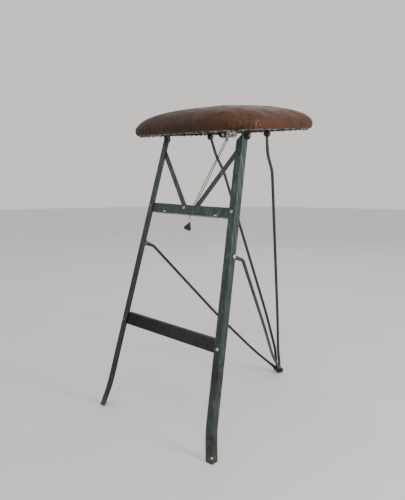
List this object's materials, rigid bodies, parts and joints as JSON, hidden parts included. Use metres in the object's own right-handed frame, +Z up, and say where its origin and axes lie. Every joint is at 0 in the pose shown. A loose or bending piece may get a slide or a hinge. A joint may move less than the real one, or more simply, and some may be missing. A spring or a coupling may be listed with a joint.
{
  "type": "three leg stool",
  "caption": "Folding three leg stool: painted angle-steel front frame with a footrest, rods meeting at a single rear foot, a leather cushion seat, and a latch with a pull cord",
  "frame": {"origin": "on the floor, in the middle of the stool's footprint", "axes": "+Z up, -Y is the front (the side of the two legs and the footrest), +X is the sitter's left-to-right width axis, all pivots turn about X"},
  "size_m": [0.404, 0.5111, 0.7568],
  "materials": {
    "frame_paint": "satin",
    "footrest_paint": "satin",
    "rod_paint": "satin",
    "bright_steel": "satin",
    "dark_steel": "satin",
    "leather": "satin",
    "plywood": "matte",
    "lining": "matte",
    "string": "matte",
    "black_plastic": "gloss"
  },
  "bodies": {
    "front_frame": {"leg_left": "frame_paint", "leg_right": "frame_paint", "upper_crossbar": "frame_paint", "footrest": "footrest_paint", "brace_left": "frame_paint", "brace_right": "frame_paint", "rivet_brace_top_left": "bright_steel", "rivet_brace_top_right": "bright_steel", "rivet_brace_foot_left": "bright_steel", "rivet_brace_foot_right": "bright_steel", "rivet_crossbar_left": "bright_steel", "rivet_crossbar_right": "bright_steel", "rivet_footrest_left": "bright_steel", "rivet_footrest_right": "bright_steel", "rivet_strut_left": "bright_steel", "rivet_strut_right": "bright_steel", "pull_cord": "string"},
    "seat": {"seat_cushion": "leather", "seat_board": "plywood", "seat_lining": "lining", "bracket_front_left": "dark_steel", "bracket_front_right": "dark_steel", "bracket_rear_left": "dark_steel", "bracket_rear_right": "dark_steel", "pivot_bolt_front_left": "bright_steel", "pivot_bolt_front_right": "bright_steel", "pivot_bolt_rear_left": "bright_steel", "pivot_bolt_rear_right": "bright_steel", "pivot_nut_front_left": "bright_steel", "pivot_nut_front_right": "bright_steel", "pivot_nut_rear_left": "bright_steel", "pivot_nut_rear_right": "bright_steel", "screw_front_left_1": "bright_steel", "screw_front_left_2": "bright_steel", "screw_front_right_1": "bright_steel", "screw_front_right_2": "bright_steel", "screw_rear_left_1": "bright_steel", "screw_rear_left_2": "bright_steel", "screw_rear_right_1": "bright_steel", "screw_rear_right_2": "bright_steel", "latch_housing": "bright_steel", "screw_latch_left": "bright_steel", "screw_latch_right": "bright_steel"},
    "rear_rods": {"rear_rod_left": "rod_paint", "rear_rod_right": "rod_paint", "foot_bolt": "dark_steel", "foot_spacer": "dark_steel"},
    "struts": {"strut_left": "rod_paint", "strut_right": "rod_paint", "foot_bolt_end_left": "dark_steel", "foot_bolt_end_right": "dark_steel"},
    "latch_tongue": {"latch_tongue": "bright_steel"},
    "latch_bail": {"latch_bail": "bright_steel"},
    "pull_knob": {"pull_cord_tail": "string", "pull_ring": "bright_steel", "pull_knob": "black_plastic"}
  },
  "joints": [
    {"name": "seat_fold", "type": "hinge", "parent": "front_frame", "child": "seat", "pos_m": [0, -0.0726, 0.67728], "axis": [-1, 0, 0], "range_deg": [0, 96], "deforming": ["pull_cord"]},
    {"name": "rear_rod_fold", "type": "hinge", "parent": "seat", "child": "rear_rods", "pos_m": [0, 0.04655, 0.6888], "axis": [1, 0, 0], "range_deg": [0, 69.4]},
    {"name": "strut_fold", "type": "hinge", "parent": "front_frame", "child": "struts", "pos_m": [0, -0.13742, 0.41727], "axis": [-1, 0, 0], "range_deg": [0, 49.9]},
    {"name": "knob_pull", "type": "slide", "parent": "front_frame", "child": "pull_knob", "axis": [0, 0, -1], "range_m": [0, 0.0052], "stiffness_N_per_m": 120},
    {"name": "tongue_slide", "type": "slide", "parent": "seat", "child": "latch_tongue", "axis": [0, -0.9981, -0.061], "range_m": [0, 0.0081]},
    {"name": "bail_swing", "type": "hinge", "parent": "latch_tongue", "child": "latch_bail", "pos_m": [0, 0.00658, 0.67691], "axis": [1, 0, 0], "range_deg": [0, 122.6]}
  ],
  "couplings": [
    {"joint": "rear_rod_fold", "follows": "seat_fold", "ratio": 0.7214},
    {"joint": "strut_fold", "follows": "seat_fold", "ratio": 0.5186},
    {"joint": "tongue_slide", "follows": "knob_pull", "ratio": 1.54},
    {"joint": "bail_swing", "follows": "seat_fold", "ratio": 1.277}
  ]
}
